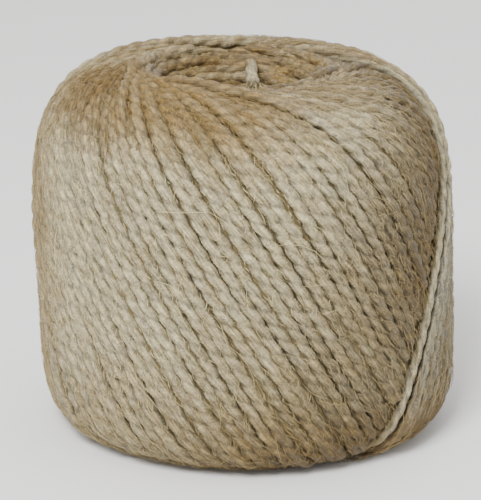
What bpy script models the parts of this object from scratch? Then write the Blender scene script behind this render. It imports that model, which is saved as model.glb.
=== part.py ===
"""Ball of two-ply natural twine, wound turn by turn over a hollow centre.

The ball stands on a small flat ring round its lower hollow. +Z is the winding axis,
the origin is the middle of the box's underside, and the front faces -Y.
Two nodes: the wound ball, and the twine's own end, which lies across the upper hollow.
"""
import math

import bmesh
import bpy
from mathutils import Vector

# Driving sizes, in metres.
BALL_RADIUS = 0.0585      # at the widest level
WIDEST_LEVEL = 0.0496     # height of the widest level above the flat ring
UPPER_RISE = 0.0550       # from the widest level to the top of the upper shell
LOWER_ROUNDING = 7.9      # exponent of the lower shoulder, higher is squarer
UPPER_ROUNDING = 4.1      # exponent of the upper shoulder
LEAN = -0.036             # sideways shift of the ball per metre of height

RIM_RADIUS = 0.0316       # crest round the upper hollow
HOLLOW_DEPTH = 0.030
HOLLOW_FLOOR = 0.0080     # radius of the upper hollow's floor
FLAT_OUTER = 0.0363       # the ring that the ball stands on
FLAT_INNER = 0.0240
FOOT_HOLLOW_DEPTH = 0.014
FOOT_HOLLOW_FLOOR = 0.0070
FUNNEL_EASE = 1.5         # how slowly a hollow's lip rolls over

TANGENT_RADIUS = 0.0260   # each turn touches this circle at both ends of the ball
LAST_TURN = 68.0          # azimuth where the last turn passes the upper hollow, degrees
STEP_HEIGHT = 0.0023      # fall of the surface through half a turn of winding
STEP_SOFTNESS = 4.0       # half width of the step beside the last turn, degrees
RIM_SOFTNESS = 26.0       # the same at a hollow, where the turns lie side on
SIDE_SWEEP = 60.0         # sweep from either end by which the turns have left the rim
RIDGE_COUNT = 24          # broad ridges of bundled turns
RIDGE_HEIGHT = 0.0007

# Mesh divisions.
AROUND = 120
ROW_SPACING = 0.0055      # height of a row of faces, along the profile
CURVE_STEPS = 80          # steps that measure each curved stretch of the profile
SWEEP_PARTS = 10          # parts of each such step, for the turns' sweep

# The loose end, from where it leaves the hollow's far wall to its cut tip on the near lip.
END_DIAMETER = 0.0034
END_ROUTE = [
    # x,       y,       z
    (0.0019, 0.0190, 0.0991),
    (0.0019, 0.0175, 0.0993),
    (0.0020, 0.0156, 0.0993),
    (0.0020, 0.0128, 0.0990),
    (0.0020, 0.0098, 0.0985),
    (0.0021, 0.0066, 0.0980),
    (0.0021, 0.0032, 0.0976),
    (0.0021, -0.0008, 0.0974),
    (0.0022, -0.0048, 0.0976),
    (0.0022, -0.0088, 0.0984),
    (0.0023, -0.0126, 0.0995),
    (0.0023, -0.0162, 0.1007),
    (0.0024, -0.0198, 0.1020),
    (0.0025, -0.0230, 0.1033),
    (0.0026, -0.0262, 0.1046),
]
END_SAMPLES = 3           # tube points for each stretch of the route
END_SIDES = 2             # bevel resolution of the tube

TWINE_COLOUR = (0.46, 0.37, 0.24, 1.0)
END_COLOUR = (0.60, 0.53, 0.40, 1.0)


def clear_scene():
    for item in list(bpy.data.objects):
        bpy.data.objects.remove(item, do_unlink=True)


def twine_material(name, colour):
    material = bpy.data.materials.new(name)
    material.use_nodes = True
    shader = material.node_tree.nodes["Principled BSDF"]
    shader.inputs["Base Color"].default_value = colour
    shader.inputs["Roughness"].default_value = 0.8
    shader.inputs["Metallic"].default_value = 0.0
    return material


def shoulder(radius, rise, rounding):
    """Height of a rounded shoulder over the widest level, at one radius."""
    return rise * (1.0 - (radius / BALL_RADIUS) ** rounding) ** (1.0 / rounding)


def funnel_drop(radius, lip, floor, depth):
    """How far a hollow's wall lies below its lip, at one radius."""
    along = min(max((lip - radius) / (lip - floor), 0.0), 1.0)
    return 0.5 * depth * (1.0 - math.cos(math.pi * along ** FUNNEL_EASE))


def steps_between(start, stop, count):
    """Evenly spaced values from start, up to but not including stop."""
    return [start + (stop - start) * step / count for step in range(count)]


def smooth_profile():
    """Closely spaced radius and height pairs, from the upper hollow's floor to the lower one's."""
    points = []
    for radius in steps_between(HOLLOW_FLOOR, RIM_RADIUS, CURVE_STEPS):
        crown = WIDEST_LEVEL + shoulder(radius, UPPER_RISE, UPPER_ROUNDING)
        points.append((radius, crown - funnel_drop(radius, RIM_RADIUS, HOLLOW_FLOOR, HOLLOW_DEPTH)))
    rim_turn = math.acos((RIM_RADIUS / BALL_RADIUS) ** (UPPER_ROUNDING / 2.0))
    for turn in steps_between(rim_turn, 0.0, CURVE_STEPS):
        radius = BALL_RADIUS * math.cos(turn) ** (2.0 / UPPER_ROUNDING)
        points.append((radius, WIDEST_LEVEL + shoulder(radius, UPPER_RISE, UPPER_ROUNDING)))
    foot_turn = math.acos((FLAT_OUTER / BALL_RADIUS) ** (LOWER_ROUNDING / 2.0))
    for turn in steps_between(0.0, foot_turn, CURVE_STEPS):
        radius = BALL_RADIUS * math.cos(turn) ** (2.0 / LOWER_ROUNDING)
        points.append((radius, WIDEST_LEVEL - shoulder(radius, WIDEST_LEVEL, LOWER_ROUNDING)))
    for radius in steps_between(FLAT_OUTER, FLAT_INNER, CURVE_STEPS):
        points.append((radius, 0.0))
    for radius in steps_between(FLAT_INNER, FOOT_HOLLOW_FLOOR, CURVE_STEPS):
        drop = funnel_drop(radius, FLAT_INNER, FOOT_HOLLOW_FLOOR, FOOT_HOLLOW_DEPTH)
        points.append((radius, drop))
    points.append((FOOT_HOLLOW_FLOOR, FOOT_HOLLOW_DEPTH))
    return points


def turn_sweeps(points):
    """Azimuth, in degrees, that a turn has swept when it reaches each point of the profile.

    A taut turn on a round body keeps radius * sin(slant) at the tangent radius.
    """
    sweeps = [0.0]
    for (r0, z0), (r1, z1) in zip(points, points[1:]):
        step = 0.0
        for part in range(SWEEP_PARTS):
            radius = r0 + (r1 - r0) * (part + 0.5) / SWEEP_PARTS
            if radius > TANGENT_RADIUS:
                reach = radius * math.sqrt(radius ** 2 - TANGENT_RADIUS ** 2)
                step += math.hypot(r1 - r0, z1 - z0) / SWEEP_PARTS * TANGENT_RADIUS / reach
        sweeps.append(sweeps[-1] + step)
    return [180.0 * value / sweeps[-1] for value in sweeps]


def profile_rows():
    """Radius, height and sweep at rows one spacing apart, measured along the profile."""
    fine = smooth_profile()
    sweeps = turn_sweeps(fine)
    lengths = [0.0]
    for (r0, z0), (r1, z1) in zip(fine, fine[1:]):
        lengths.append(lengths[-1] + math.hypot(r1 - r0, z1 - z0))
    count = round(lengths[-1] / ROW_SPACING)
    rows = []
    place = 0
    for row in range(count + 1):
        mark = lengths[-1] * row / count
        while place < len(fine) - 2 and lengths[place + 1] < mark:
            place += 1
        along = (mark - lengths[place]) / (lengths[place + 1] - lengths[place])
        start = Vector((*fine[place], sweeps[place]))
        stop = Vector((*fine[place + 1], sweeps[place + 1]))
        rows.append(tuple(start.lerp(stop, along)))
    return rows


def top_turn_age(azimuth, sweep):
    """Degrees of winding since the uppermost turn here was laid, 0 to 360."""
    after_last = azimuth - LAST_TURN
    return min((after_last - sweep) % 360.0, (after_last + sweep) % 360.0)


def fade(value, start, stop):
    """0 at start and before it, 1 from stop on, eased between them."""
    along = min(max((value - start) / (stop - start), 0.0), 1.0)
    return along * along * (3.0 - 2.0 * along)


def smooth_age(azimuth, sweep):
    """The age averaged over the width of the step, so that the step has a slope."""
    off_rim = fade(min(sweep, 180.0 - sweep), 0.0, SIDE_SWEEP)
    width = RIM_SOFTNESS + (STEP_SOFTNESS - RIM_SOFTNESS) * off_rim
    shifts = [width * part / 4.0 for part in range(-4, 5)]
    ages = [top_turn_age(azimuth + shift, sweep) for shift in shifts]
    return sum(ages) / len(ages)


def winding_height(azimuth, sweep, radius, height):
    """How far the winding stands out from the plain turned shape."""
    age = smooth_age(azimuth, sweep)
    step = STEP_HEIGHT * (0.5 - age / 180.0)
    ridge = RIDGE_HEIGHT * math.cos(math.radians(age * RIDGE_COUNT))
    off_floor = fade(radius, HOLLOW_FLOOR, RIM_RADIUS)
    off_ground = fade(height, 0.0, 0.25 * WIDEST_LEVEL)
    return (step + ridge) * off_floor * off_ground


def row_normal(rows, row):
    """Outward direction of the profile at one row, as radial and upward parts."""
    before = rows[row - 1]
    after = rows[row + 1]
    along = Vector((after[0] - before[0], after[1] - before[1])).normalized()
    return -along[1], along[0]


def make_ball(collection):
    rows = profile_rows()
    shape = bmesh.new()
    row_of = shape.verts.layers.int.new("row")
    outline = [(0.0, rows[0][1])] + [row[:2] for row in rows] + [(0.0, rows[-1][1])]
    chain = []
    for place, (radius, height) in enumerate(outline):
        vert = shape.verts.new((radius, 0.0, height))
        vert[row_of] = place - 1
        chain.append(vert)
    for start, end in zip(chain, chain[1:]):
        shape.edges.new((start, end))
    bmesh.ops.spin(
        shape, geom=shape.verts[:] + shape.edges[:], cent=(0.0, 0.0, 0.0), axis=(0.0, 0.0, 1.0),
        angle=math.tau, steps=AROUND, use_merge=True, use_duplicate=False)
    bmesh.ops.remove_doubles(shape, verts=shape.verts[:], dist=0.00001)
    for vert in shape.verts:
        row = vert[row_of]
        if 0 < row < len(rows) - 1:
            radius, height, sweep = rows[row]
            azimuth = math.degrees(math.atan2(vert.co.y, vert.co.x))
            out = winding_height(azimuth, sweep, radius, height)
            radial, upward = row_normal(rows, row)
            grown = (radius + radial * out) / radius
            vert.co = Vector((vert.co.x * grown, vert.co.y * grown, height + upward * out))
    for vert in shape.verts:
        vert.co.x += LEAN * (vert.co.z - WIDEST_LEVEL)
    bmesh.ops.recalc_face_normals(shape, faces=shape.faces[:])
    mesh = bpy.data.meshes.new("wound_ball")
    shape.to_mesh(mesh)
    shape.free()
    mesh.shade_smooth()
    mesh.materials.append(twine_material("wound_twine", TWINE_COLOUR))
    ball = bpy.data.objects.new("wound_ball", mesh)
    collection.objects.link(ball)


def smooth_route(route, samples):
    """Points on a smooth curve through every point of the route."""
    nodes = [Vector(point) for point in route]
    ends = [2.0 * nodes[0] - nodes[1]] + nodes + [2.0 * nodes[-1] - nodes[-2]]
    points = []
    for before, start, stop, after in zip(ends, ends[1:], ends[2:], ends[3:]):
        for step in range(samples):
            t = step / samples
            bend = 2.0 * before - 5.0 * start + 4.0 * stop - after
            twist = 3.0 * start - 3.0 * stop + after - before
            points.append(start + 0.5 * (t * (stop - before) + t ** 2 * bend + t ** 3 * twist))
    return points + [nodes[-1]]


def make_loose_end(collection):
    points = smooth_route(END_ROUTE, END_SAMPLES)
    curve = bpy.data.curves.new("loose_end", "CURVE")
    curve.dimensions = "3D"
    curve.bevel_depth = END_DIAMETER / 2.0
    curve.bevel_resolution = END_SIDES
    curve.use_fill_caps = True
    spline = curve.splines.new("POLY")
    spline.points.add(len(points) - 1)
    for slot, point in zip(spline.points, points):
        slot.co = (point.x, point.y, point.z, 1.0)
    curve.materials.append(twine_material("end_twine", END_COLOUR))
    loose_end = bpy.data.objects.new("loose_end", curve)
    collection.objects.link(loose_end)


def main():
    clear_scene()
    collection = bpy.data.collections.new("ball_of_string")
    bpy.context.scene.collection.children.link(collection)
    make_ball(collection)
    make_loose_end(collection)


main()
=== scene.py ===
"""The looks of a ball of two-ply natural twine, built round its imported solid.

The solid gives the wound form. This file lays the twine on it turn by turn, and adds the
packed layers beneath, the turns in both hollows, the loose end and the stray fibres.
"""
import math

import bmesh
import bpy
import numpy as np
from bpy.props import FloatProperty, FloatVectorProperty, IntProperty, PointerProperty
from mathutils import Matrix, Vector


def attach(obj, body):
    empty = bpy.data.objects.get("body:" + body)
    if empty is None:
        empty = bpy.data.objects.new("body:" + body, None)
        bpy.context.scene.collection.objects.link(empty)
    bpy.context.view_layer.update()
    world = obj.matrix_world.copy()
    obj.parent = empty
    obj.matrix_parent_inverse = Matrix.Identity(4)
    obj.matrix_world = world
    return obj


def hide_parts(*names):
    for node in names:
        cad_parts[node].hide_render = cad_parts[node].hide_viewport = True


bl_info = {
    "name": "Ball of string",
    "version": (1, 0, 0),
    "blender": (4, 5, 0),
    "location": "3D View > Sidebar > String",
    "description": "Lays twine, loose end and stray fibres on a wound ball",
    "category": "Add Mesh",
}

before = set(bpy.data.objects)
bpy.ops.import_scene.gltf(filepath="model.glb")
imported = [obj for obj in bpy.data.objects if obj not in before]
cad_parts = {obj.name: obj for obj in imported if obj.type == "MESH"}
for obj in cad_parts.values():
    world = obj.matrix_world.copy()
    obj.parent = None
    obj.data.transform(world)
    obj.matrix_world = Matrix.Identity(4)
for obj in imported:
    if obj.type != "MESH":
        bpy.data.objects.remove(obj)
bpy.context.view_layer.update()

# The wound form, as the solid has it, in metres.
BALL_RADIUS = 0.0585
WIDEST_LEVEL = 0.0496
UPPER_RISE = 0.0550
LOWER_ROUNDING = 7.9
UPPER_ROUNDING = 4.1
LEAN = -0.036
RIM_RADIUS = 0.0316
HOLLOW_DEPTH = 0.030
HOLLOW_FLOOR = 0.0080
FLAT_OUTER = 0.0363
FLAT_INNER = 0.0240
FOOT_HOLLOW_DEPTH = 0.014
FOOT_HOLLOW_FLOOR = 0.0070
FUNNEL_EASE = 1.5
STEP_HEIGHT = 0.0023

# The loose end, from the far wall of the hollow to its cut tip on the near lip.
END_ROUTE = [
    (0.0019, 0.0190, 0.0991),
    (0.0019, 0.0175, 0.0993),
    (0.0020, 0.0156, 0.0993),
    (0.0020, 0.0128, 0.0990),
    (0.0020, 0.0098, 0.0985),
    (0.0021, 0.0066, 0.0980),
    (0.0021, 0.0032, 0.0976),
    (0.0021, -0.0008, 0.0974),
    (0.0022, -0.0048, 0.0976),
    (0.0022, -0.0088, 0.0984),
    (0.0023, -0.0126, 0.0995),
    (0.0023, -0.0162, 0.1007),
    (0.0024, -0.0198, 0.1020),
    (0.0025, -0.0230, 0.1033),
    (0.0026, -0.0262, 0.1046),
]
END_DIAMETER = 0.0034

MM = 0.001
SECTION_POINTS = 12       # round a strand
FULL_SWEEP = 180.0        # degrees swept by a turn from one hollow to the other
PILE = 0.12               # share of the twist that the fibres lie off the plies
LEAD_IN = 0.017           # a stretch starts this far back inside its own hollow
RUN_OUT = 0.009           # and runs on this far under the turns that cover it
SHORTEST_RUN = 0.004
RIM_SOFTNESS = 26.0       # half width of the step at a hollow, degrees
TANGENT_SHIFTS = (-0.5, -0.25, 0.0, 0.25, 0.5)  # how far a turn misses the tangent circle, mm
ARC_POINTS = 40           # the short arcs on the hollows' walls
ARC_REACH = 0.013
ARC_SPACING = 0.0052
PACKED_DEPTH = 0.54       # packed layers below the form, in twine thicknesses
FRAYED_FIBRES = 150
FRAYED_THICKNESS = 0.00017
FUZZ_SIDES = 3
CAMERA_TARGET = (-0.00114, 0.0, WIDEST_LEVEL - 0.00078)

OPEN_PLIES = {0: 1.0, 1: 0.96, 2: 0.86, 3: 0.77}    # reach by steps from a ply's crown
MATTED_PLIES = {0: 1.0, 1: 0.96, 2: 0.90, 3: 0.86}

OLIVE_FIBRE = (0.36, 0.345, 0.26)
# Pale hairs, partly painted highlights on the fibres.
PALE_HAIR_AND_HIGHLIGHT = (0.68, 0.62, 0.47)
DEEP_GREY = (0.09, 0.084, 0.062)
PALE_GREY = (0.36, 0.34, 0.27)

LIGHTS = (
    # name, place, size, power
    ("key", (-0.30, -0.85, 0.95), 0.45, 25.5),
    ("fill", (0.9, -0.9, 0.5), 0.9, 0.8),
    ("top", (0.0, 0.15, 1.2), 0.8, 2.0),
    ("back", (0.5, 1.0, 0.7), 0.8, 3.0),
)
TURN_PIECES = ("last_turns", "recent_turns", "earlier_turns", "oldest_turns")
FIBRE_PIECES = (
    # name, short, share kept where the twine is clean, brightness
    ("stray_fibres", False, 0.14, 1.15),
    ("short_fuzz", True, 0.45, 1.1),
    ("fine_fuzz", True, 0.8, 1.4),
)


class TwineSettings(bpy.types.PropertyGroup):
    thickness: FloatProperty(
        name="Thickness", description="Across the laid twine", default=0.0038, unit="LENGTH")
    lay: FloatProperty(
        name="Lay", description="Length of one full twist of the two plies", default=0.0101,
        unit="LENGTH")
    ring_step: FloatProperty(
        name="Ring step", description="Distance between the rings of a strand's mesh",
        default=0.00105, unit="LENGTH")
    pale: FloatVectorProperty(
        name="Pale fibre", description="Colour of the clean outer fibre", subtype="COLOR",
        default=(0.560, 0.476, 0.262))
    deep: FloatVectorProperty(
        name="Deep fibre", description="Colour between the fibres", subtype="COLOR",
        default=(0.155, 0.115, 0.045))
    # The brown fibre colour also paints shade: the shadow beside the last turn's step and the shade
    # at the foot.
    brown: FloatVectorProperty(
        name="Brown fibre", description="Colour of the darker, coarser fibre", subtype="COLOR",
        default=(0.138, 0.080, 0.015))


class WindingSettings(bpy.types.PropertyGroup):
    turn_step: FloatProperty(
        name="Turn step", description="Degrees round the ball from one turn to the next",
        default=4.15)
    tangent_radius: FloatProperty(
        name="Tangent radius", description="Each turn touches this circle at both ends",
        default=0.0260, unit="LENGTH")
    last_turn: FloatProperty(
        name="Last turn", description="Azimuth of the last turn at the upper hollow, degrees",
        default=68.0)
    slip: FloatProperty(
        name="Slip", description="How unevenly the turns lie beside each other, degrees",
        default=0.09)
    seed: IntProperty(name="Seed", description="Seed of the uneven winding", default=7)


class FibreSettings(bpy.types.PropertyGroup):
    count: IntProperty(name="Fibres", description="Stray fibres in each piece", default=9300)
    thickness: FloatProperty(
        name="Fibre thickness", description="Across one stray fibre", default=0.00016,
        unit="LENGTH")
    seed: IntProperty(name="Seed", description="Seed of the stray fibres", default=21)


class StageSettings(bpy.types.PropertyGroup):
    distance: FloatProperty(
        name="Camera distance", description="From the middle of the ball", default=0.702,
        unit="LENGTH")
    elevation: FloatProperty(
        name="Camera elevation", description="Degrees above the level", default=17.5)
    lens: FloatProperty(name="Lens", description="Focal length, millimetres", default=176.6)
    floor_colour: FloatVectorProperty(
        name="Floor", description="Colour of the floor", subtype="COLOR",
        default=(0.86, 0.86, 0.86))


def ease(value, start, stop):
    """0 at start and before it, 1 from stop on, eased between them."""
    along = np.clip((np.asarray(value, float) - start) / (stop - start), 0.0, 1.0)
    return along * along * (3.0 - 2.0 * along)


# ---------------------------------------------------------------- the wound form


def shoulder(radius, rise, rounding):
    return rise * (1.0 - (radius / BALL_RADIUS) ** rounding) ** (1.0 / rounding)


def funnel_drop(radius, lip, floor, depth):
    along = np.clip((lip - radius) / (lip - floor), 0.0, 1.0)
    return 0.5 * depth * (1.0 - np.cos(math.pi * along ** FUNNEL_EASE))


def wound_profile(spacing=0.0004):
    """Evenly spaced radius and height of the plain form, from hollow floor to hollow floor."""
    inner = np.linspace(HOLLOW_FLOOR, RIM_RADIUS, 300, endpoint=False)
    crown = WIDEST_LEVEL + shoulder(inner, UPPER_RISE, UPPER_ROUNDING)
    upper = crown - funnel_drop(inner, RIM_RADIUS, HOLLOW_FLOOR, HOLLOW_DEPTH)
    rim_turn = math.acos((RIM_RADIUS / BALL_RADIUS) ** (UPPER_ROUNDING / 2.0))
    turn = np.linspace(rim_turn, 0.0, 500, endpoint=False)
    side = BALL_RADIUS * np.cos(turn) ** (2.0 / UPPER_ROUNDING)
    foot_turn = math.acos((FLAT_OUTER / BALL_RADIUS) ** (LOWER_ROUNDING / 2.0))
    under = BALL_RADIUS * np.cos(np.linspace(0.0, foot_turn, 500, endpoint=False)) ** (
        2.0 / LOWER_ROUNDING)
    flat = np.linspace(FLAT_OUTER, FLAT_INNER, 50, endpoint=False)
    foot = np.linspace(FLAT_INNER, FOOT_HOLLOW_FLOOR, 200)
    radius = np.concatenate([inner, side, under, flat, foot])
    height = np.concatenate([
        upper,
        WIDEST_LEVEL + shoulder(side, UPPER_RISE, UPPER_ROUNDING),
        WIDEST_LEVEL - shoulder(under, WIDEST_LEVEL, LOWER_ROUNDING),
        np.zeros(len(flat)),
        funnel_drop(foot, FLAT_INNER, FOOT_HOLLOW_FLOOR, FOOT_HOLLOW_DEPTH),
    ])
    length = np.concatenate([[0.0], np.cumsum(np.hypot(np.diff(radius), np.diff(height)))])
    marks = np.linspace(0.0, length[-1], int(length[-1] / spacing))
    return marks, np.interp(marks, length, radius), np.interp(marks, length, height)


def half_turn_table(profile, tangent, upward, count=420):
    """A half turn from one hollow to the other: radius, height, outward direction, sweep.

    A taut turn on a round body keeps radius * sin(slant) at the tangent radius, and the
    rows are closest at both ends, where the turn runs round the hollow.
    """
    marks, radius, height = profile
    wide = np.nonzero(radius > tangent)[0]
    place = 0.5 - 0.5 * np.cos(np.linspace(0.0, math.pi, count))
    at = marks[wide[0]] + (marks[wide[-1]] - marks[wide[0]]) * place
    r, z = np.interp(at, marks, radius), np.interp(at, marks, height)
    out_r, out_z = -np.gradient(z, at), np.gradient(r, at)
    step = np.diff(at)
    middle = np.maximum(0.5 * (r[1:] + r[:-1]), tangent * 1.00002)
    swept = np.cumsum(tangent / (middle * np.sqrt(middle ** 2 - tangent ** 2)) * step)
    sweep = np.concatenate([[0.0], swept]) * FULL_SWEEP / swept[-1]
    table = np.stack([r, z, out_r, out_z, sweep], 1)
    if upward:
        table = table[::-1].copy()
        table[:, 4] = FULL_SWEEP - table[:, 4]
    return table


def slow_wave(rng, length, size):
    """A smooth uneven wave along a strand."""
    wave = np.zeros(len(length))
    for period in (0.021, 0.047, 0.11):
        wave += rng.uniform(0.4, 1.0) * np.sin(math.tau * (length / period + rng.random()))
    return wave * size / 1.7


def on_form(r, z, out_r, out_z, azimuth, height):
    """Points standing a height over the plain form, in the leaning ball."""
    radius = r + out_r * height
    level = z + out_z * height
    turn = np.radians(azimuth)
    return np.stack([
        radius * np.cos(turn) + LEAN * (level - WIDEST_LEVEL), radius * np.sin(turn), level], 1)


def resample(points, step, *extras):
    """Points one step apart along a line, and the extras read at the same places."""
    length = np.concatenate([[0.0], np.cumsum(np.linalg.norm(np.diff(points, axis=0), axis=1))])
    count = max(int(round(length[-1] / step)), 4)
    marks = np.linspace(0.0, length[-1], count + 1)
    line = np.stack([np.interp(marks, length, points[:, axis]) for axis in range(3)], 1)
    return line, marks, [np.interp(marks, length, extra) for extra in extras]


# ---------------------------------------------------------------- strands


class Strand:
    """One length of twine: its points, which way is outward, and its width, twist and tone."""

    def __init__(self, points, outward, along, width, look, twist_start, lay):
        self.points = points
        self.outward = outward
        self.along = along
        self.width = width
        self.tone, self.brown, self.pale = look
        self.twist = twist_start - math.tau * along / lay


def shading(azimuth, sweep, z, last_turn):
    """Painted shadow of the step beside the last turn, 0 to 1: how much darker and browner the turns
    are towards it, less low down.
    """
    before_last = (last_turn - sweep - azimuth) % 360.0
    return (1.0 - ease(before_last, 8.0, 66.0)) * (0.62 + 0.38 * ease(z, 0.012, 0.065))


def brownness(points, azimuth, sweep, last_turn):
    """How brown the colour is, 0 to 1, the most that any region gives: partly coarse brown fibre, and
    painted shade beside the last turn and at the foot.
    """
    x, y, z = points.T
    radius = np.hypot(x, y)
    # Painted shadow of the step beside the last turn, laid on as brown.
    beside_last = 0.80 * shading(azimuth, sweep, z, last_turn)
    front_rim = ease(z, 0.082, 0.100) * ease(-y, -0.022, 0.008) * (1.0 - ease(x, -0.004, 0.034))
    hollow = 1.0 - ease(radius, 0.022, 0.029)
    # Painted shade at the foot: browner towards the floor, more so on the right.
    foot = (1.0 - ease(z, 0.0, 0.050)) * (0.46 + 0.54 * ease(x, -0.034, 0.016))
    low_right = 0.66 * (1.0 - ease(z, 0.012, 0.066)) * ease(x, -0.034, 0.018) * ease(-y, 0.0, 0.02)
    far_left = 0.62 * ease(-x, 0.047, 0.059)
    rim = 0.62 * ease(-radius, -0.050, -0.036) * ease(z, 0.09, 0.10)
    return np.clip(np.maximum.reduce(
        [beside_last, front_rim, hollow, foot, low_right, far_left, rim]), 0.0, 1.0)


def paleness(points, azimuth, sweep, last_turn):
    """How much greyer and cleaner the turns are, 0 to 1, on the far side of the last turn."""
    past_last = (azimuth - last_turn + sweep) % 360.0
    side = (1.0 - ease(points[:, 2], 0.060, 0.088)) * ease(points[:, 2], 0.004, 0.030)
    return (1.0 - ease(past_last, 18.0, 42.0)) * ease(past_last, -2.0, 1.0) * side


def outer_turns(twine, winding):
    """The two stretches of each turn that still show, from the last turn laid to the oldest."""
    rng = np.random.default_rng(winding.seed)
    profile = wound_profile()
    tables = {
        (shift, upward): half_turn_table(profile, winding.tangent_radius + shift * MM, upward)
        for shift in TANGENT_SHIFTS for upward in (False, True)}
    strands = []
    for turn in range(int(360.0 / winding.turn_step)):
        age = turn * winding.turn_step
        azimuth = winding.last_turn + age + rng.normal(0.0, winding.slip) * (turn > 0)
        for upward in (False, True):
            table = tables[(rng.choice(TANGENT_SHIFTS), upward)]
            start = azimuth - FULL_SWEEP * upward
            start += sweep_at_waist(tables[(0.0, upward)]) - sweep_at_waist(table)
            strands.append(half_turn(table, start, age, upward, twine, winding, rng))
    return [strand for strand in strands if strand is not None]


def sweep_at_waist(table):
    """Degrees swept where a half turn crosses the widest level."""
    return table[np.argmin(np.abs(table[:, 1] - WIDEST_LEVEL)), 4]


def rim_age(azimuth, sweep, winding):
    """Age of the top turn, averaged across the width of the step at a hollow, degrees."""
    after_last = azimuth - winding.last_turn
    ages = [np.minimum((after_last + shift - sweep) % 360.0, (after_last + shift + sweep) % 360.0)
            for shift in np.linspace(-RIM_SOFTNESS, RIM_SOFTNESS, 9)]
    return np.mean(ages, 0)


def showing_run(table, shown):
    """The rows of a stretch, which way each lies, how far along it is, and where the stretch ends.

    A stretch starts back inside its own hollow, and runs on a little under the turns that cover it.
    """
    r, z, sweep = table[:, 0], table[:, 1], table[:, 4]
    flat = np.concatenate([[0.0], np.cumsum(np.hypot(
        np.hypot(np.diff(r), np.diff(z)), 0.5 * (r[1:] + r[:-1]) * np.radians(np.diff(sweep))))])
    end = np.interp(shown, sweep, flat)
    back = flat <= LEAD_IN
    ahead = flat <= end + RUN_OUT
    rows = np.concatenate([np.nonzero(back)[0][::-1], np.nonzero(ahead)[0][1:]])
    way = np.concatenate([-np.ones(back.sum()), np.ones(ahead.sum() - 1)])
    return rows, way, flat[rows] * way, end


def laid_level(r, z, azimuth, down_sweep, age, winding):
    """Height over the plain form: each turn lies a little over the turns before it."""
    lift_off = ease(r, HOLLOW_FLOOR, RIM_RADIUS) * ease(z, 0.0, 0.25 * WIDEST_LEVEL)
    off_rim = ease(np.minimum(down_sweep, FULL_SWEEP - down_sweep), 5.0, 60.0)
    rim = rim_age(azimuth, down_sweep, winding)
    return STEP_HEIGHT * (0.5 - (rim + (age - rim) * off_rim) / 180.0) * lift_off


def tucked(run, end, age):
    """How far a stretch goes under its neighbours, in twine thicknesses: at its end and start."""
    under = max(1.0 - 0.6 * age / 180.0, 0.15)
    at_end = under * ease(run, end - 0.0052, end - 0.0006) + 0.5 * ease(run, end, end + 0.008)
    at_start = 0.95 * ease(-run, 0.001, 0.016)
    return at_end, at_start


def turn_look(points, along, azimuth, down_sweep, age, winding, rng):
    """Tone, brownness and paleness along a stretch, with painted shade in the tone: towards the floor
    and beside the last turn's step.
    """
    brown = brownness(points, azimuth, down_sweep, winding.last_turn)
    pale = paleness(points, azimuth, down_sweep, winding.last_turn)
    brown = brown * (1.0 - 0.8 * pale)
    tone = rng.normal(0.0, 1.0) * 0.5 + 0.5 * slow_wave(rng, along, 1.0)
    # Painted shade: the tone drops towards the floor.
    tone = tone - 0.9 * (1.0 - ease(points[:, 2], 0.006, 0.040))
    if age == 0.0:
        return tone - 0.6, 0.5 * brown, np.full(len(points), 0.10)
    # Painted shadow of the step beside the last turn.
    tone = tone - 3.6 * shading(azimuth, down_sweep, points[:, 2], winding.last_turn)
    return tone, brown, pale


def half_turn(table, start, age, upward, twine, winding, rng):
    """The showing stretch of a half turn, with both hidden ends tucked under."""
    thick = twine.thickness
    rows, way, run, end = showing_run(table, FULL_SWEEP - age / 2.0)
    if end < SHORTEST_RUN:
        return None
    r, z, out_r, out_z, sweep = table[rows].T
    azimuth = start + way * sweep
    down_sweep = FULL_SWEEP - sweep if upward else sweep
    level = laid_level(r, z, azimuth, down_sweep, age, winding)
    wide = np.sqrt(np.maximum(r ** 2 - winding.tangent_radius ** 2, 0.0)) / BALL_RADIUS
    crowd = 1.0 - np.clip(wide / 0.92, 0.0, 1.0)
    uneven = rng.normal(0.0, 1.0) * (0.055 + 0.20 * crowd)
    uneven = uneven + slow_wave(rng, run, 1.0) * (0.05 + 0.10 * crowd)
    if age == 0.0:
        uneven = np.full(len(run), -0.16)
    at_end, at_start = tucked(run, end, age)
    height = level - 0.5 * thick + thick * (uneven - at_end - at_start)
    sideways = slow_wave(rng, run, 0.12 * MM) * (0.3 + 0.7 * np.clip(wide, 0.0, 1.0))
    place = (r, z, out_r, out_z, azimuth + np.degrees(sideways / r))
    points = on_form(*place, height)
    outward = on_form(*place, height + 1.0) - points
    points[:, 2] = np.maximum(points[:, 2], 0.36 * thick)
    points, along, (azimuth, down_sweep, *outward) = resample(
        points, twine.ring_step, place[-1], down_sweep, *outward.T)
    look = turn_look(points, along, azimuth, down_sweep, age, winding, rng)
    width = np.full(len(points), rng.uniform(1.05, 1.14)) * (1.0 + slow_wave(rng, along, 0.03))
    if age == 0.0:
        width = width * 0.80
    lay = twine.lay * rng.uniform(0.93, 1.08)
    return Strand(
        points, np.stack(outward, 1), along, width, look, rng.uniform(0.0, math.tau), lay)


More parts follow.
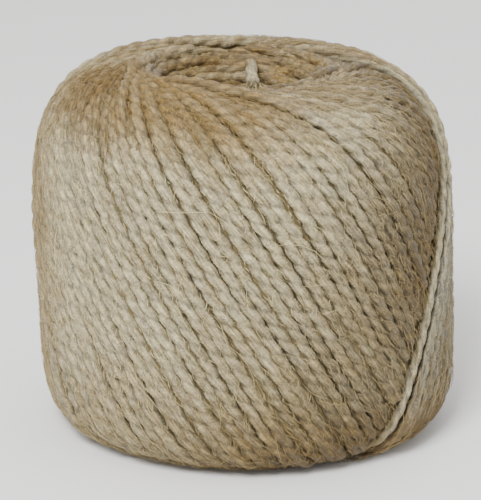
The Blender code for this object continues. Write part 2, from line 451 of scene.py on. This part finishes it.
def wall_turns(twine, winding, upper):
    """Older turns that show as short arcs on the wall of a hollow."""
    rng = np.random.default_rng(winding.seed + (50 if upper else 51))
    marks, radius, height = wound_profile()
    lip = winding.tangent_radius + 0.5 * MM
    own_side = height > WIDEST_LEVEL if upper else height < WIDEST_LEVEL
    wall = np.nonzero((radius < lip) & own_side)[0]
    out_r, out_z = -np.gradient(height, marks), np.gradient(radius, marks)
    span = marks[wall[-1]] - marks[wall[0]]
    rows = int(span / (0.86 * twine.thickness)) + 1
    strands = []
    for row in range(rows):
        mark = marks[wall[0]] + span * (row + 0.4) / rows
        spot = [np.interp(mark, marks, values) for values in (radius, height, out_r, out_z)]
        arcs = max(int(math.tau * spot[0] / ARC_SPACING), 7)
        for arc in range(arcs):
            middle = 360.0 * (arc + rng.uniform(-0.25, 0.25)) / arcs
            strands.append(wall_arc(spot, middle, twine, upper, rng))
    return strands


def wall_arc(spot, middle, twine, upper, rng):
    """One short arc on a hollow's wall, sinking into it at both ends."""
    r, z, out_r, out_z = (np.full(ARC_POINTS, value) for value in spot)
    turn = np.linspace(-1.0, 1.0, ARC_POINTS)
    half = min(ARC_REACH / spot[0], 0.95)
    depth = rng.uniform(0.30, 0.62) * twine.thickness + 0.5 * spot[0] * (half * turn) ** 2
    tilt = rng.uniform(0.08, 0.22) * (1.0 if upper else -1.0)
    level = z + tilt * spot[0] * half * turn + rng.normal(0.0, 0.5 * MM)
    place = (r, level, out_r, out_z, middle + np.degrees(half * turn))
    points = on_form(*place, -depth)
    outward = on_form(*place, 1.0 - depth) - points
    points[:, 2] = np.maximum(points[:, 2], 0.45 * twine.thickness)
    points, along, outward = resample(points, 1.8 * twine.ring_step, *outward.T)
    size = len(points)
    width = np.full(size, rng.uniform(0.92, 1.05))
    # The tone is held low: painted shade on the hollows' walls.
    look = (
        np.full(size, rng.normal(-1.4, 0.6)), np.full(size, rng.uniform(0.75, 1.0)), np.zeros(size))
    return Strand(
        points, np.stack(outward, 1), along, width, look, rng.uniform(0.0, math.tau), twine.lay)


def section_outline(name, reaches):
    """A closed flat outline with the given reaches, run so that a tube of it faces outwards."""
    curve = bpy.data.curves.new(name, "CURVE")
    curve.dimensions = "2D"
    line = curve.splines.new("POLY")
    line.points.add(len(reaches) - 1)
    line.use_cyclic_u = True
    for place, (point, reach) in enumerate(zip(line.points, reaches)):
        angle = -math.tau * place / len(reaches)
        point.co = (reach * math.cos(angle), reach * math.sin(angle), 0.0, 1.0)
    section = bpy.data.objects.new(name, curve)
    bpy.context.scene.collection.objects.link(section)
    return section


def ply_section(thickness, plies):
    """Cross-section of two plies laid together."""
    half = SECTION_POINTS // 2
    return section_outline("section", [
        0.5 * thickness * plies[min(place % half, half - place % half)]
        for place in range(SECTION_POINTS)])


def mesh_from_curve(curve, section):
    """The mesh of a bevelled curve. The curve and its section are removed."""
    curve.bevel_mode = "OBJECT"
    curve.bevel_object = section
    curve.use_fill_caps = False
    holder = bpy.data.objects.new("strand_lines", curve)
    bpy.context.scene.collection.objects.link(holder)
    graph = bpy.context.evaluated_depsgraph_get()
    mesh = bpy.data.meshes.new_from_object(
        holder.evaluated_get(graph), preserve_all_data_layers=True, depsgraph=graph)
    bpy.data.objects.remove(holder)
    bpy.data.curves.remove(curve)
    outline = section.data
    bpy.data.objects.remove(section)
    bpy.data.curves.remove(outline)
    return mesh


def end_taper(width):
    """The widths with both ends drawn in to a point, which merging then closes."""
    width = width.copy()
    width[0] = width[-1] = 0.0
    width[1] *= 0.72
    width[-2] *= 0.72
    return width


def new_line(curve, points, widths):
    """Adds one line to a curve, with its width at each point."""
    line = curve.splines.new("POLY")
    line.points.add(len(points) - 1)
    spots = np.ones((len(points), 4))
    spots[:, :3] = points
    line.points.foreach_set("co", spots.ravel())
    line.points.foreach_set("radius", widths)
    return line


def add_attributes(mesh, **values):
    for label, numbers in values.items():
        mesh.attributes.new(label, "FLOAT", "POINT").data.foreach_set("value", numbers)


def strand_mesh(name, strands, thickness, plies=OPEN_PLIES):
    """One mesh of all the strands, with the attributes that its fibre colours follow."""
    curve = bpy.data.curves.new(name, "CURVE")
    curve.dimensions = "3D"
    curve.twist_mode = "MINIMUM"
    for strand in strands:
        line = new_line(curve, strand.points, end_taper(strand.width))
        line.points.foreach_set("tilt", strand.twist)
    mesh = mesh_from_curve(curve, ply_section(thickness, plies))
    fibre = fibre_places(strands)
    if len(fibre) != len(mesh.vertices):
        raise RuntimeError(f"{name}: the strand mesh has an unexpected number of points")
    mesh.attributes.new("fibre", "FLOAT_VECTOR", "POINT").data.foreach_set("vector", fibre.ravel())
    spots = np.empty(3 * len(mesh.vertices))
    mesh.vertices.foreach_get("co", spots)
    centres, outward, widths, tone, brown, pale = (
        np.repeat(np.concatenate([getattr(strand, key) for strand in strands]), SECTION_POINTS, 0)
        for key in ("points", "outward", "width", "tone", "brown", "pale"))
    # crest: how far out a point stands on its strand; the material paints shade between the turns
    # from it.
    crest = ((spots.reshape(-1, 3) - centres) * outward).sum(1) / (0.5 * thickness * widths)
    # lobe: 1 on a ply's crown, 0 in the groove between the plies, where the material paints shade.
    around = math.tau * np.arange(SECTION_POINTS) / SECTION_POINTS
    lobe = np.tile(np.abs(np.cos(around)), len(fibre) // SECTION_POINTS)
    add_attributes(mesh, tone=tone, brown=brown, pale=pale, lobe=lobe, crest=crest)
    close_and_press(mesh)
    return mesh


def fibre_places(strands):
    """Where each vertex lies in its strand: along it in mm, and round it as the fibres run."""
    around = -math.tau * np.arange(SECTION_POINTS) / SECTION_POINTS
    places = []
    for number, strand in enumerate(strands):
        angle = around[None, :] - (1.0 - PILE) * strand.twist[:, None]
        shift = (number * 7.31) % 97.0
        along = np.repeat(strand.along[:, None] / MM, SECTION_POINTS, 1)
        places.append(np.stack([along + shift * 13.0, np.cos(angle) + shift, np.sin(angle)], -1))
    return np.concatenate([part.reshape(-1, 3) for part in places])


def close_and_press(mesh):
    """Closes the drawn-in ends, and presses flat what would reach under the ball."""
    shape = bmesh.new()
    shape.from_mesh(mesh)
    bmesh.ops.remove_doubles(shape, verts=shape.verts[:], dist=0.000001)
    for vert in shape.verts:
        vert.co.z = max(vert.co.z, 0.0)
    shape.to_mesh(mesh)
    shape.free()
    mesh.shade_smooth()


def place_piece(name, mesh, material):
    """A finished piece at the origin, riding on the ball."""
    mesh.materials.clear()
    mesh.materials.append(material)
    piece = bpy.data.objects.new(name, mesh)
    bpy.context.scene.collection.objects.link(piece)
    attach(piece, "root")
    return piece


# ---------------------------------------------------------------- materials


class Nodes:
    """Adds nodes to a material and joins them."""

    def __init__(self, name):
        self.material = bpy.data.materials.new(name)
        self.material.use_nodes = True
        self.tree = self.material.node_tree
        self.shader = self.tree.nodes["Principled BSDF"]

    def add(self, kind, settings=(), inputs=()):
        node = self.tree.nodes.new(kind)
        for key, value in dict(settings).items():
            setattr(node, key, value)
        for key, value in dict(inputs).items():
            if isinstance(value, bpy.types.NodeSocket):
                self.tree.links.new(value, node.inputs[key])
            else:
                node.inputs[key].default_value = value
        return node

    def attribute(self, name, output="Fac"):
        return self.add("ShaderNodeAttribute", {"attribute_name": name}).outputs[output]

    def math(self, operation, first, second=0.0, third=0.0, clamp=False):
        settings = {"operation": operation, "use_clamp": clamp}
        return self.add("ShaderNodeMath", settings, {0: first, 1: second, 2: third}).outputs[0]

    def noise(self, vector, scale, detail=3.0, roughness=0.6):
        inputs = {"Vector": vector, "Scale": scale, "Detail": detail, "Roughness": roughness}
        return self.add("ShaderNodeTexNoise", {}, inputs).outputs["Fac"]

    def stretch(self, vector, scale):
        return self.add(
            "ShaderNodeVectorMath", {"operation": "MULTIPLY"}, {0: vector, 1: scale}).outputs[0]

    def range(self, value, low, high, to_low=0.0, to_high=1.0):
        inputs = {"Value": value, "From Min": low, "From Max": high,
                  "To Min": to_low, "To Max": to_high}
        return self.add("ShaderNodeMapRange", {"clamp": True}, inputs).outputs["Result"]

    def mix(self, factor, first, second, blend="MIX"):
        node = self.add("ShaderNodeMix", {"data_type": "RGBA", "blend_type": blend})
        for socket, value in zip((0, 6, 7), (factor, first, second)):
            if isinstance(value, bpy.types.NodeSocket):
                self.tree.links.new(value, node.inputs[socket])
            elif socket == 0:
                node.inputs[0].default_value = value
            else:
                node.inputs[socket].default_value = (*value[:3], 1.0)
        return node.outputs[2]

    def finish(self, colour, roughness, bump, strength, distance):
        self.tree.links.new(colour, self.shader.inputs["Base Color"])
        self.tree.links.new(roughness, self.shader.inputs["Roughness"])
        node = self.add("ShaderNodeBump", {}, {
            "Height": bump, "Strength": strength, "Distance": distance})
        self.tree.links.new(node.outputs["Normal"], self.shader.inputs["Normal"])
        return self.material


def set_sheen(nodes, weight):
    nodes.shader.inputs["Sheen Weight"].default_value = weight
    nodes.shader.inputs["Sheen Roughness"].default_value = 0.45
    nodes.shader.inputs["Sheen Tint"].default_value = (1.0, 0.93, 0.80, 1.0)
    nodes.shader.inputs["Specular IOR Level"].default_value = 0.45


def scaled(colour, gain):
    return [min(channel * gain, 0.95) for channel in colour]


def twine_material(name, twine):
    """Long pale fibres with deeper colour between them, browner where the turns are coarse and where
    shade is painted, with painted highlights on the hairs and painted shade in the grooves.
    """
    nodes = Nodes(name)
    fibre = nodes.attribute("fibre", "Vector")
    place = nodes.add("ShaderNodeTexCoord").outputs["Object"]
    tone, brown, pale, lobe, crest = (
        nodes.attribute(label) for label in ("tone", "brown", "pale", "lobe", "crest"))
    streaks = nodes.noise(nodes.stretch(fibre, (0.16, 3.1, 3.1)), 1.0, 4.0, 0.62)
    hairs = nodes.noise(nodes.stretch(fibre, (0.10, 8.5, 8.5)), 1.0, 2.0, 0.5)
    patches = nodes.noise(nodes.stretch(fibre, (0.06, 0.5, 0.5)), 1.0, 2.0, 0.5)
    light = nodes.range(streaks, 0.35, 0.65)
    light = nodes.math("MULTIPLY_ADD", tone, 0.13, light, clamp=True)
    coarse = nodes.math("ADD", nodes.range(patches, 0.35, 0.65, -0.20, 0.16), brown)
    coarse = nodes.math("MULTIPLY", coarse, 0.92, clamp=True)
    # Clean fibre, then the brown (partly painted shade) and the grey over it, and the brightest
    # hairs, partly painted highlights.
    colour = nodes.mix(light, twine.deep, twine.pale)
    olive = nodes.range(nodes.noise(place, 210.0, 2.0, 0.5), 0.35, 0.65, 0.0, 0.30)
    colour = nodes.mix(olive, colour, OLIVE_FIBRE)
    colour = nodes.mix(coarse, colour, nodes.mix(
        light, scaled(twine.brown, 0.80), scaled(twine.brown, 1.80)))
    grey = nodes.mix(light, DEEP_GREY, PALE_GREY)
    colour = nodes.mix(nodes.math("MULTIPLY", pale, 0.72), colour, grey)
    hair_and_highlight = nodes.math("MULTIPLY", nodes.range(hairs, 0.56, 0.70),
                      nodes.range(coarse, 0.2, 1.0, 0.42, 0.14))
    colour = nodes.mix(hair_and_highlight, colour, PALE_HAIR_AND_HIGHLIGHT)
    # Specks, then painted shade: the low tone beside the last turn's step, near the floor and in the
    # hollows, the groove between the plies, and the shade between the turns.
    shade = nodes.range(nodes.noise(place, 620.0, 4.0, 0.72), 0.36, 0.64, 0.62, 1.32)
    for part in (nodes.range(tone, -3.6, -0.8, 0.70, 1.0),
                 nodes.range(lobe, 0.0, 0.6, 0.66, 1.0),
                 nodes.range(crest, -0.1, 0.74, nodes.range(coarse, 0.15, 0.9, 0.40, 0.60), 1.03)):
        shade = nodes.math("MULTIPLY", shade, part)
    grey_shade = nodes.add("ShaderNodeCombineColor", {}, {0: shade, 1: shade, 2: shade})
    colour = nodes.mix(1.0, colour, grey_shade.outputs[0], "MULTIPLY")
    set_sheen(nodes, 0.08)
    rough = nodes.range(hairs, 0.3, 0.7, 0.57, 0.31)
    bump = nodes.math("MULTIPLY_ADD", hairs, 0.6, streaks)
    return nodes.finish(colour, rough, bump, 1.0, 0.0004)


def packed_material(twine):
    """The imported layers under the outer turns: the same fibre in shade."""
    nodes = Nodes("packed_twine")
    place = nodes.add("ShaderNodeTexCoord").outputs["Object"]
    blotch = nodes.noise(nodes.stretch(place, (160.0, 160.0, 60.0)), 1.0, 4.0, 0.6)
    fine = nodes.noise(nodes.stretch(place, (1300.0, 1300.0, 420.0)), 1.0, 3.0, 0.6)
    colour = nodes.mix(
        nodes.range(blotch, 0.3, 0.7), scaled(twine.deep, 0.65), scaled(twine.deep, 0.95))
    colour = nodes.mix(nodes.range(fine, 0.45, 0.75), colour, scaled(twine.deep, 1.4))
    set_sheen(nodes, 0.1)
    rough = nodes.range(fine, 0.3, 0.7, 0.9, 0.75)
    return nodes.finish(colour, rough, fine, 0.8, 0.0004)


def fibre_material(name, twine, gain):
    """Single stray fibres, each with its own tone."""
    nodes = Nodes(name)
    tone, brown = nodes.attribute("tone"), nodes.attribute("brown")
    place = nodes.add("ShaderNodeTexCoord").outputs["Object"]
    grain = nodes.noise(place, 900.0, 2.0, 0.5)
    light = nodes.math("MULTIPLY_ADD", grain, 0.5, tone, clamp=True)
    colour = nodes.mix(light, twine.deep, scaled(twine.pale, gain))
    colour = nodes.mix(brown, colour, scaled(twine.brown, 1.35))
    set_sheen(nodes, 0.06)
    rough = nodes.range(grain, 0.3, 0.7, 0.6, 0.45)
    return nodes.finish(colour, rough, grain, 0.2, 0.00005)


# ---------------------------------------------------------------- operators


class STRING_OT_stage(bpy.types.Operator):
    """Floor, soft lights and camera"""
    bl_idname = "string.stage"
    bl_label = "Stage"

    def execute(self, context):
        settings = context.scene.string_stage
        add_camera(context, settings)
        add_floor(context, settings)
        add_lights(context)
        return {"FINISHED"}


def aim(thing, target):
    thing.rotation_euler = (target - thing.location).to_track_quat("-Z", "Y").to_euler()


def add_camera(context, settings):
    camera = bpy.data.objects.new("camera", bpy.data.cameras.new("camera"))
    context.scene.collection.objects.link(camera)
    camera.data.lens = settings.lens
    camera.data.sensor_width = 36.0
    camera.data.clip_start = 0.01
    target = Vector(CAMERA_TARGET)
    tilt = math.radians(settings.elevation)
    camera.location = target + settings.distance * Vector((0.0, -math.cos(tilt), math.sin(tilt)))
    aim(camera, target)
    context.scene.camera = camera


def add_floor(context, settings):
    shape = bmesh.new()
    bmesh.ops.create_circle(shape, cap_ends=True, cap_tris=False, segments=96, radius=6.0)
    mesh = bpy.data.meshes.new("floor")
    shape.to_mesh(mesh)
    shape.free()
    nodes = Nodes("floor")
    place = nodes.add("ShaderNodeTexCoord").outputs["Object"]
    grain = nodes.noise(place, 30.0, 3.0, 0.5)
    colour = nodes.mix(grain, scaled(settings.floor_colour, 0.99), settings.floor_colour)
    mesh.materials.append(nodes.finish(
        colour, nodes.range(grain, 0.0, 1.0, 0.75, 0.85), grain, 0.02, 0.0005))
    floor = bpy.data.objects.new("floor", mesh)
    context.scene.collection.objects.link(floor)


def add_lights(context):
    world = bpy.data.worlds.new("studio")
    world.use_nodes = True
    background = world.node_tree.nodes["Background"]
    background.inputs["Color"].default_value = (1.0, 0.99, 0.97, 1.0)
    background.inputs["Strength"].default_value = 0.92
    context.scene.world = world
    target = Vector((0.0, 0.0, WIDEST_LEVEL))
    for name, place, size, power in LIGHTS:
        lamp = bpy.data.lights.new(name, "AREA")
        lamp.size = size
        lamp.energy = power
        light = bpy.data.objects.new(name, lamp)
        context.scene.collection.objects.link(light)
        light.location = place
        aim(light, target)


def smooth_route(route, samples):
    """Points on a smooth curve through every point of the route."""
    nodes = [Vector(point) for point in route]
    ends = [2.0 * nodes[0] - nodes[1]] + nodes + [2.0 * nodes[-1] - nodes[-2]]
    points = []
    for before, start, stop, after in zip(ends, ends[1:], ends[2:], ends[3:]):
        for step in range(samples):
            t = step / samples
            bend = 2.0 * before - 5.0 * start + 4.0 * stop - after
            twist = 3.0 * start - 3.0 * stop + after - before
            points.append(start + 0.5 * (t * (stop - before) + t ** 2 * bend + t ** 3 * twist))
    return np.array(points + [nodes[-1]])


class STRING_OT_loose_end(bpy.types.Operator):
    """Bare end of the twine across the upper hollow, with its frayed tip"""
    bl_idname = "string.loose_end"
    bl_label = "Loose end"

    def execute(self, context):
        twine = context.scene.string_twine
        rng = np.random.default_rng(5)
        route = smooth_route(END_ROUTE, 6)
        points, along, _ = resample(route, 0.0007)
        size = len(points)
        look = (np.full(size, 0.5), 0.22 + 0.65 * (1.0 - ease(along, 0.0, 0.010)), np.zeros(size))
        upward = np.tile((0.0, 0.0, 1.0), (size, 1))
        strand = Strand(points, upward, along, np.full(size, 1.08), look, 0.4, 1.35 * twine.lay)
        mesh = strand_mesh("loose_end_twine", [strand], END_DIAMETER, MATTED_PLIES)
        piece = place_piece(
            "loose_end_twine", mesh, twine_material("end_fibre", twine))
        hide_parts("loose_end")
        frayed = self.frayed_tip(points, twine, rng)
        return {"FINISHED"}

    def frayed_tip(self, points, twine, rng):
        """Fibres that fan out from the cut tip over the near lip."""
        lines = []
        tip = points[-1]
        for _ in range(FRAYED_FIBRES):
            begin = points[-1 - rng.integers(2, 26)] + rng.normal(0.0, 0.5 * MM, 3)
            reach = rng.uniform(3.0, 7.0) * MM
            heading = np.array([rng.normal(0.0, 0.40), -1.0, 0.10])
            heading /= np.linalg.norm(heading)
            t = np.linspace(0.0, 1.0, 5)[:, None]
            line = begin + heading * reach * t
            line[:, 2] += (rng.uniform(0.0, 1.3) * t[:, 0] - 3.0 * t[:, 0] ** 2) * MM
            line[:, 0] += rng.normal(0.0, 1.0) * MM * t[:, 0] ** 2
            line[:, 1] = np.maximum(line[:, 1], tip[1] - 4.5 * MM)
            lines.append(line)
        return add_fibres("frayed_tip", lines, FRAYED_THICKNESS, twine, rng, 1.0,
                          [0.3] * len(lines))


def add_fibres(name, lines, thickness, twine, rng, gain, browns):
    """Thin three-sided fibres along the lines, as one piece."""
    curve = bpy.data.curves.new(name, "CURVE")
    curve.dimensions = "3D"
    tones, own_browns = [], []
    for line, brown in zip(lines, browns):
        width = np.full(len(line), rng.uniform(0.6, 1.25))
        width[0] = width[-1] = 0.0
        new_line(curve, line, width)
        tones.append(np.full(FUZZ_SIDES * len(line), rng.uniform(0.1, 0.9)))
        own_brown = min(1.25 * brown, 1.0) * rng.uniform(0.7, 1.0)
        own_browns.append(np.full(FUZZ_SIDES * len(line), own_brown))
    mesh = mesh_from_curve(curve, section_outline("fibre_section", [0.5 * thickness] * FUZZ_SIDES))
    add_attributes(mesh, tone=np.concatenate(tones), brown=np.concatenate(own_browns))
    close_and_press(mesh)
    return place_piece(name, mesh, fibre_material(name, twine, gain))


class STRING_OT_turns(bpy.types.Operator):
    """Outer turns of the twine, laid over each other in order"""
    bl_idname = "string.turns"
    bl_label = "Outer turns"

    def execute(self, context):
        twine, winding = context.scene.string_twine, context.scene.string_winding
        strands = outer_turns(twine, winding)
        material = twine_material("outer_twine", twine)
        rings = np.cumsum([len(strand.points) for strand in strands])
        groups = (rings * len(TURN_PIECES) / (rings[-1] + 1)).astype(int)
        for group, name in enumerate(TURN_PIECES):
            members = [strand for strand, own in zip(strands, groups) if own == group]
            mesh = strand_mesh(name, members, twine.thickness)
            place_piece(name, mesh, material)
        return {"FINISHED"}


class STRING_OT_hollows(bpy.types.Operator):
    """Older turns on the walls of both hollows"""
    bl_idname = "string.hollows"
    bl_label = "Hollow turns"

    def execute(self, context):
        twine, winding = context.scene.string_twine, context.scene.string_winding
        material = bpy.data.materials["outer_twine"]
        for name, upper in (("upper_hollow_turns", True), ("lower_hollow_turns", False)):
            mesh = strand_mesh(
                name, wall_turns(twine, winding, upper), twine.thickness, MATTED_PLIES)
            place_piece(name, mesh, material)
        return {"FINISHED"}


class STRING_OT_packed(bpy.types.Operator):
    """Packed layers that show between the outer turns"""
    bl_idname = "string.packed"
    bl_label = "Packed layers"

    def execute(self, context):
        twine = context.scene.string_twine
        shape = bmesh.new()
        shape.from_mesh(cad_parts["wound_ball"].data)
        bmesh.ops.remove_doubles(shape, verts=shape.verts[:], dist=0.000001)
        shape.normal_update()
        outward = [vert.normal.copy() for vert in shape.verts]
        depths = self.depths(shape, context.scene.string_winding)
        for vert, normal, depth in zip(shape.verts, outward, depths):
            vert.co -= normal * twine.thickness * depth
        mesh = bpy.data.meshes.new("packed_layers")
        shape.to_mesh(mesh)
        shape.free()
        mesh.shade_smooth()
        piece = place_piece("packed_layers", mesh, packed_material(twine))
        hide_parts("wound_ball")
        return {"FINISHED"}

    def depths(self, shape, winding):
        """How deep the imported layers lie, in twine thicknesses: deepest at the rim and the step."""
        places = np.array([vert.co for vert in shape.verts])
        places[:, 0] -= LEAN * (places[:, 2] - WIDEST_LEVEL)
        radius = np.hypot(places[:, 0], places[:, 1])
        azimuth = np.degrees(np.arctan2(places[:, 1], places[:, 0]))
        table = half_turn_table(wound_profile(), winding.tangent_radius, False)
        gaps = np.hypot(radius[:, None] - table[None, :, 0], places[:, 2, None] - table[None, :, 1])
        sweep = table[np.argmin(gaps, 1), 4]
        behind = np.minimum((winding.last_turn - sweep - azimuth) % 360.0,
                            (winding.last_turn + sweep - azimuth) % 360.0)
        rim = ease(places[:, 2], 0.085, 0.10) * (1.0 - ease(radius, 0.035, 0.048))
        return PACKED_DEPTH + 0.12 * rim + 0.10 * (1.0 - ease(behind, 8.0, 20.0))


class STRING_OT_fibres(bpy.types.Operator):
    """Stray fibres that lift off the turns"""
    bl_idname = "string.fibres"
    bl_label = "Stray fibres"

    def execute(self, context):
        twine, winding = context.scene.string_twine, context.scene.string_winding
        fibres = context.scene.string_fibres
        rng = np.random.default_rng(fibres.seed)
        table = half_turn_table(wound_profile(), winding.tangent_radius, False)
        for name, short, everywhere, gain in FIBRE_PIECES:
            lines, browns = [], []
            while len(lines) < fibres.count:
                line, brown = self.stray_fibre(table, short, winding, rng)
                if rng.random() < everywhere + 1.1 * brown:
                    lines.append(line)
                    browns.append(brown)
            thickness = fibres.thickness * (0.85 if short else 1.0)
            add_fibres(name, lines, thickness, twine, rng, gain, browns)
        return {"FINISHED"}

    def stray_fibre(self, table, short, winding, rng):
        """One fibre lying near the outer turns, roughly along them, and how brown it is."""
        r, z, out_r, out_z, sweep = table.T
        flat = np.concatenate([[0.0], np.cumsum(np.hypot(np.diff(r), np.diff(z)))])
        middle = rng.uniform(0.0, flat[-1] * 0.97)
        azimuth = rng.uniform(0.0, 360.0)
        at_sweep = np.interp(middle, flat, sweep)
        down = (azimuth - winding.last_turn - at_sweep) % 360.0
        up = (azimuth - winding.last_turn + at_sweep) % 360.0
        age, way = (down, 1.0) if down < up else (up, -1.0)
        long = rng.random() < 0.10 and not short
        reach = rng.uniform(9.0, 20.0) * MM if long else rng.uniform(2.0, 6.5) * MM
        reach = rng.uniform(1.2, 3.6) * MM if short else reach
        radius = np.interp(middle, flat, r)
        slant = math.asin(min(winding.tangent_radius / radius, 0.98))
        slant = way * slant + rng.normal(0.0, 0.45 if short or long else 0.30)
        t = np.linspace(-0.5, 0.5, 6 if long else 4)
        bend = rng.normal(0.0, 0.4) * reach * (t ** 2 - 0.08)
        across = reach * t * math.sin(slant) + bend * math.cos(slant)
        along = middle + reach * t * math.cos(slant) - bend * math.sin(slant)
        along = np.clip(along, 0.0, flat[-1])
        lift_off = ease(radius, HOLLOW_FLOOR, RIM_RADIUS)
        level = STEP_HEIGHT * (0.5 - age / 180.0) * float(lift_off)
        rise = rng.uniform(0.1, 1.1 if long else 0.7) * MM
        one_end = rng.uniform(-0.5, 0.5)
        height = level - 0.35 * MM + rise * (1.0 - 3.0 * (t - one_end) ** 2)
        height = height + slow_wave(rng, t * reach, 0.1 * MM)
        spot = [np.interp(along, flat, values) for values in (r, z, out_r, out_z)]
        points = on_form(*spot, azimuth + np.degrees(across / spot[0]), height)
        points[:, 2] = np.maximum(points[:, 2], 0.1 * MM)
        # Browner where the turns are brown, which includes the painted shade beside the last turn and
        # at the foot.
        brown = brownness(
            points[:1], np.array([azimuth]), np.array([at_sweep]), winding.last_turn)[0]
        return points, 0.95 * brown


class STRING_PT_panel(bpy.types.Panel):
    """Lists the pieces of the ball of string"""
    bl_label = "Ball of string"
    bl_space_type = "VIEW_3D"
    bl_region_type = "UI"
    bl_category = "String"

    def draw(self, context):
        scene = context.scene
        for group in (scene.string_twine, scene.string_winding, scene.string_fibres,
                      scene.string_stage):
            box = self.layout.box()
            for name in group.__annotations__:
                box.prop(group, name)
        for operator in OPERATORS:
            self.layout.operator(operator.bl_idname)


SETTINGS = {
    "string_twine": TwineSettings,
    "string_winding": WindingSettings,
    "string_fibres": FibreSettings,
    "string_stage": StageSettings,
}
OPERATORS = (
    STRING_OT_stage, STRING_OT_loose_end, STRING_OT_packed, STRING_OT_turns,
    STRING_OT_hollows, STRING_OT_fibres)


def register():
    for group in SETTINGS.values():
        bpy.utils.register_class(group)
    for operator in OPERATORS:
        bpy.utils.register_class(operator)
    bpy.utils.register_class(STRING_PT_panel)
    for name, group in SETTINGS.items():
        setattr(bpy.types.Scene, name, PointerProperty(type=group))


def unregister():
    for name in SETTINGS:
        delattr(bpy.types.Scene, name)
    bpy.utils.unregister_class(STRING_PT_panel)
    for operator in reversed(OPERATORS):
        bpy.utils.unregister_class(operator)
    for group in reversed(list(SETTINGS.values())):
        bpy.utils.unregister_class(group)


def main():
    register()
    bpy.ops.string.stage()
    bpy.ops.string.loose_end()
    bpy.ops.string.packed()
    bpy.ops.string.turns()
    bpy.ops.string.hollows()
    bpy.ops.string.fibres()


if __name__ == "__main__":
    main()
